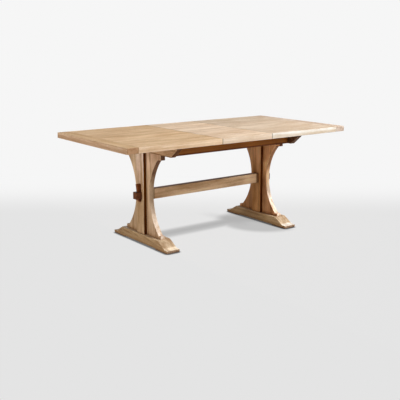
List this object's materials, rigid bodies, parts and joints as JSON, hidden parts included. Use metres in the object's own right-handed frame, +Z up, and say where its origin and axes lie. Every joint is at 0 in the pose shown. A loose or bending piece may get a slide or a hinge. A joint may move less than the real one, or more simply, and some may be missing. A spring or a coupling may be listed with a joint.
{
  "type": "extending dining table",
  "caption": "Rectangular trestle dining table in oak; a wedged stretcher joins the trestles and the top slides apart for a loose leaf.",
  "frame": {"origin": "on the floor under the middle of the table", "axes": "+X along the length, -Y towards the front long edge, +Z up"},
  "size_m": [1.95, 0.965, 0.775],
  "materials": {
    "oak_top": "pale oiled oak, satin",
    "oak_base": "pale oiled oak, satin, a little darker than the top",
    "dark_oak": "dark stained oak, satin",
    "rail_oak": "oak stained a warm mid brown, satin",
    "pad_wood": "plain hardwood, unfinished and a little grey",
    "beech": "planed beech, waxed",
    "brass": "turned brass",
    "steel": "zinc plated steel"
  },
  "bodies": {
    "base": {"left_foot": "oak_base", "right_foot": "oak_base", "left_post": "oak_base", "right_post": "oak_base", "left_front_bracket": "oak_base", "left_back_bracket": "oak_base", "right_front_bracket": "oak_base", "right_back_bracket": "oak_base", "left_head_bearer": "oak_base", "right_head_bearer": "oak_base", "stretcher": "oak_base", "left_wedge": "dark_oak", "right_wedge": "dark_oak", "front_side_rail": "rail_oak", "back_side_rail": "rail_oak", "front_guide_rail": "beech", "back_guide_rail": "beech", "slide_stop_blocks": "beech", "foot_pads": "pad_wood", "coach_screws": "steel"},
    "left_top": {"left_end_board": "oak_top", "left_plank_1": "oak_top", "left_plank_2": "oak_top", "left_plank_3": "oak_top", "left_plank_4": "oak_top", "left_plank_5": "oak_top", "left_plank_6": "oak_top", "left_front_runner": "beech", "left_back_runner": "beech", "left_alignment_pins": "brass", "left_stop_dowels": "beech", "left_runner_screws": "steel", "left_catch_pivots": "steel"},
    "right_top": {"right_end_board": "oak_top", "right_plank_1": "oak_top", "right_plank_2": "oak_top", "right_plank_3": "oak_top", "right_plank_4": "oak_top", "right_plank_5": "oak_top", "right_plank_6": "oak_top", "right_front_runner": "beech", "right_back_runner": "beech", "right_alignment_pins": "brass", "right_stop_dowels": "beech", "right_runner_screws": "steel", "right_catch_pivots": "steel"},
    "leaf": {"leaf_plank_1": "oak_top", "leaf_plank_2": "oak_top", "leaf_plank_3": "oak_top", "leaf_plank_4": "oak_top", "leaf_plank_5": "oak_top", "leaf_plank_6": "oak_top", "left_leaf_batten": "beech", "right_leaf_batten": "beech", "batten_screws": "steel", "leaf_catch_studs": "steel"},
    "left_front_catch": {"left_front_catch": "steel"},
    "left_back_catch": {"left_back_catch": "steel"},
    "right_front_catch": {"right_front_catch": "steel"},
    "right_back_catch": {"right_back_catch": "steel"}
  },
  "joints": [
    {"name": "left_top_slide", "type": "slide", "parent": "base", "child": "left_top", "axis": [-1, 0, 0], "range_m": [0, 0.05]},
    {"name": "right_top_slide", "type": "slide", "parent": "base", "child": "right_top", "axis": [1, 0, 0], "range_m": [0, 0.05]},
    {"name": "leaf_lift", "type": "slide", "parent": "base", "child": "leaf", "axis": [0, 0, 1], "range_m": [0, 0.25]},
    {"name": "left_front_catch_turn", "type": "hinge", "parent": "left_top", "child": "left_front_catch", "pos_m": [-0.247, -0.38, 0.7332], "axis": [0, 0, 1], "range_deg": [0, 90]},
    {"name": "left_back_catch_turn", "type": "hinge", "parent": "left_top", "child": "left_back_catch", "pos_m": [-0.247, 0.38, 0.7332], "axis": [0, 0, -1], "range_deg": [0, 90]},
    {"name": "right_front_catch_turn", "type": "hinge", "parent": "right_top", "child": "right_front_catch", "pos_m": [0.247, -0.38, 0.7332], "axis": [0, 0, -1], "range_deg": [0, 90]},
    {"name": "right_back_catch_turn", "type": "hinge", "parent": "right_top", "child": "right_back_catch", "pos_m": [0.247, 0.38, 0.7332], "axis": [0, 0, 1], "range_deg": [0, 90]}
  ]
}
